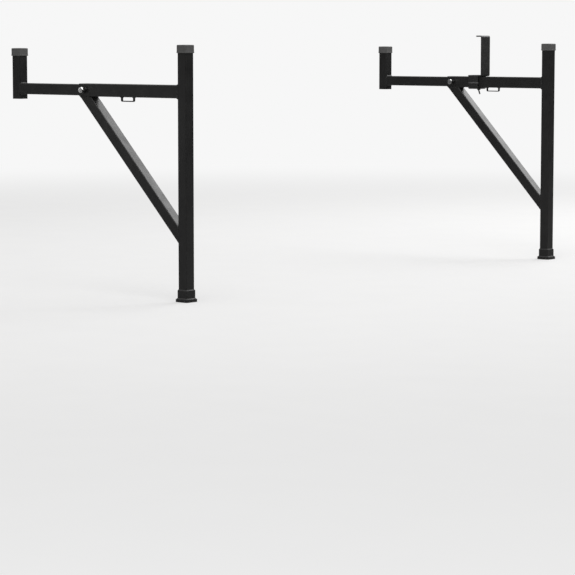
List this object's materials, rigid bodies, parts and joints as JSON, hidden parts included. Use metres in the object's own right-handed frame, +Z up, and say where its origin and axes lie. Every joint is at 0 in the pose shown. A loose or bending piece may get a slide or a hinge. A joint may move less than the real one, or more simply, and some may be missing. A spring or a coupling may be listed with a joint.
{
  "type": "ladder rack",
  "caption": "Side-mount ladder rack: braced square-tube uprights that drop into bed-rail pockets, with telescoping arms, capped end posts and a sliding ladder stop.",
  "frame": {"origin": "bottom centre of the bounding box with every joint at rest; in Y it is midway between the two post axes, and the bolt heads stand out 12 mm more on the -Y side", "axes": "+Z up the posts, +Y along the bed rail from the rear upright to the front one, +X from the end posts towards the main posts"},
  "size_m": [0.8012, 1.9636, 0.911],
  "materials": {
    "coated_steel": "semi-gloss black powder coat",
    "zinc_plate": "bright zinc plate",
    "vinyl": "dipped grey-black vinyl",
    "rail_rubber": "matt black sheet rubber"
  },
  "bodies": {
    "rear_upright": {"rear_post": "coated_steel", "rear_outer_arm": "coated_steel", "rear_brace": "coated_steel", "rear_tie_loop": "coated_steel", "rear_lock_nut": "coated_steel", "rear_base_sleeve": "coated_steel", "rear_base_flange": "coated_steel", "rear_post_cap": "vinyl", "rear_rail_pad": "rail_rubber"},
    "rear_arm": {"rear_inner_arm": "coated_steel", "rear_end_post": "coated_steel", "rear_end_cap": "vinyl"},
    "rear_lock": {"rear_lock_bolt": "zinc_plate"},
    "front_upright": {"front_post": "coated_steel", "front_outer_arm": "coated_steel", "front_brace": "coated_steel", "front_tie_loop": "coated_steel", "front_lock_nut": "coated_steel", "front_base_sleeve": "coated_steel", "front_base_flange": "coated_steel", "front_post_cap": "vinyl", "front_rail_pad": "rail_rubber"},
    "front_arm": {"front_inner_arm": "coated_steel", "front_end_post": "coated_steel", "front_end_cap": "vinyl"},
    "front_lock": {"front_lock_bolt": "zinc_plate"},
    "ladder_stop": {"stop_collar": "coated_steel", "stop_strap": "coated_steel"},
    "stop_clamp": {"stop_screw": "coated_steel"}
  },
  "joints": [
    {"name": "rear_arm_slide", "type": "slide", "parent": "rear_upright", "child": "rear_arm", "axis": [-1, 0, 0], "range_m": [-0.26, 0.075]},
    {"name": "rear_lock_turn", "type": "hinge", "parent": "rear_upright", "child": "rear_lock", "pos_m": [-0.04335, -0.95, 0.74], "axis": [0, -1, 0], "range_deg": [0, 360]},
    {"name": "upright_spacing", "type": "slide", "parent": "rear_upright", "child": "front_upright", "axis": [0, 1, 0], "range_m": [-0.45, 0.35]},
    {"name": "front_arm_slide", "type": "slide", "parent": "front_upright", "child": "front_arm", "axis": [-1, 0, 0], "range_m": [-0.28, 0.055]},
    {"name": "front_lock_turn", "type": "hinge", "parent": "front_upright", "child": "front_lock", "pos_m": [-0.04335, 0.95, 0.74], "axis": [0, -1, 0], "range_deg": [0, 360]},
    {"name": "ladder_stop_slide", "type": "slide", "parent": "front_upright", "child": "ladder_stop", "axis": [1, 0, 0], "range_m": [-0.045, 0.02]},
    {"name": "stop_screw_turn", "type": "hinge", "parent": "ladder_stop", "child": "stop_clamp", "pos_m": [0.06465, 0.95, 0.71], "axis": [0, 0, -1], "range_deg": [0, 360]}
  ]
}
